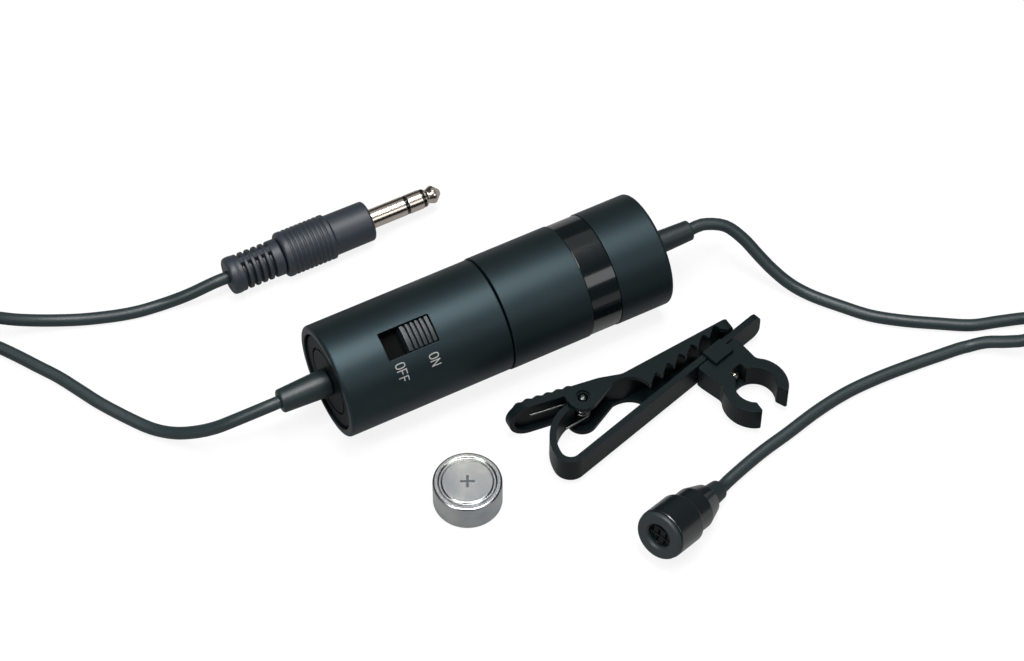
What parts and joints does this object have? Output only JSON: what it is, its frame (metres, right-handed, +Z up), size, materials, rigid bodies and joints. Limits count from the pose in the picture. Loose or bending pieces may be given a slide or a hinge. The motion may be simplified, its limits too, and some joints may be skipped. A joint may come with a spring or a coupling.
{
  "type": "lavalier microphone",
  "caption": "Clip-on microphone capsule and in-line power module with slide switch, leads and jack plug, with tie clip and button cell",
  "frame": {"origin": "on the table under the middle of the rigid pieces", "axes": "+X along the power module from its switch end to its microphone end, +Z up, the clip, cell and capsule lie on the -Y side"},
  "size_m": [0.2513, 0.118, 0.0203],
  "materials": {
    "shell": "satin dark teal-black",
    "black_plastic": "matte black",
    "gloss_black": "gloss black",
    "rubber": "soft charcoal",
    "cord": "soft charcoal jacket",
    "nickel": "pale warm nickel plate",
    "steel": "satin steel",
    "gasket": "nylon",
    "board": "green solder mask",
    "felt": "grey felt",
    "resistor": "tan lacquer"
  },
  "bodies": {
    "switch_half": {"switch_housing": "shell", "output_end_plate": "black_plastic", "output_strain_relief": "rubber", "slide_switch": "steel", "circuit_board": "board", "output_capacitor": "gloss_black", "load_resistor": "resistor", "battery_cup": "black_plastic", "positive_contact": "nickel", "output_lead_module_side": "cord", "output_lead_coil": "cord", "output_lead_plug_side": "cord", "output_coil_tie_near": "rubber", "output_coil_tie_far": "rubber", "plug_tip": "nickel", "plug_tip_insulator": "gloss_black", "plug_ring": "nickel", "plug_ring_insulator": "gloss_black", "plug_sleeve": "nickel", "plug_grip": "rubber", "plug_strain_relief": "rubber"},
    "switch_knob": {"switch_slider": "black_plastic"},
    "mic_half": {"mic_strain_relief": "rubber", "contact_spool": "black_plastic", "negative_contact_spring": "nickel", "mic_lead_module_side": "cord", "mic_lead_coil": "cord", "mic_lead_capsule_side": "cord", "mic_coil_tie_near": "rubber", "mic_coil_tie_far": "rubber", "capsule_bezel": "rubber", "capsule_grille": "black_plastic", "capsule_felt": "felt", "electret_cartridge": "steel", "capsule_front_housing": "gloss_black", "capsule_rear_housing": "gloss_black", "capsule_strain_relief": "rubber"},
    "sleeve": {"battery_sleeve": "shell", "trim_band": "gloss_black", "sleeve_end_plate": "black_plastic"},
    "cell": {"cell_can": "steel", "cell_gasket": "gasket", "cell_cap": "steel"},
    "clip": {"clip_band": "black_plastic", "clip_pivot_pin": "steel", "clip_spring": "steel", "mic_holder": "black_plastic", "holder_rivet": "nickel"},
    "clip_lever": {"clip_lever": "black_plastic"}
  },
  "joints": [
    {"name": "switch_slide", "type": "slide", "parent": "switch_half", "child": "switch_knob", "axis": [-1, 0, 0], "range_m": [0, 0.0036]},
    {"name": "half_slide", "type": "slide", "parent": "switch_half", "child": "mic_half", "axis": [1, 0, 0], "range_m": [0, 0.0071]},
    {"name": "sleeve_turn", "type": "hinge", "parent": "mic_half", "child": "sleeve", "pos_m": [-0.00188, 0.02204, 0.01015], "axis": [1, 0, 0], "range_deg": [0, 1260]},
    {"name": "jaw_open", "type": "hinge", "parent": "clip", "child": "clip_lever", "pos_m": [0.00532, 0.00134, 0.00375], "axis": [0, 0, 1], "range_deg": [0, 18], "stiffness_Nm_per_rad": 0.03, "springref_deg": -34.38, "deforming": ["clip_spring"]},
    {"name": "cell_lift", "type": "slide", "parent": "switch_half", "child": "cell", "axis": [0, 0, 1], "range_m": [0, 0.03]},
    {"name": "clip_lift", "type": "slide", "parent": "switch_half", "child": "clip", "axis": [0, 0, 1], "range_m": [0, 0.03]}
  ],
  "couplings": [
    {"joint": "half_slide", "follows": "sleeve_turn", "m_per_rad": 0.00031831}
  ]
}
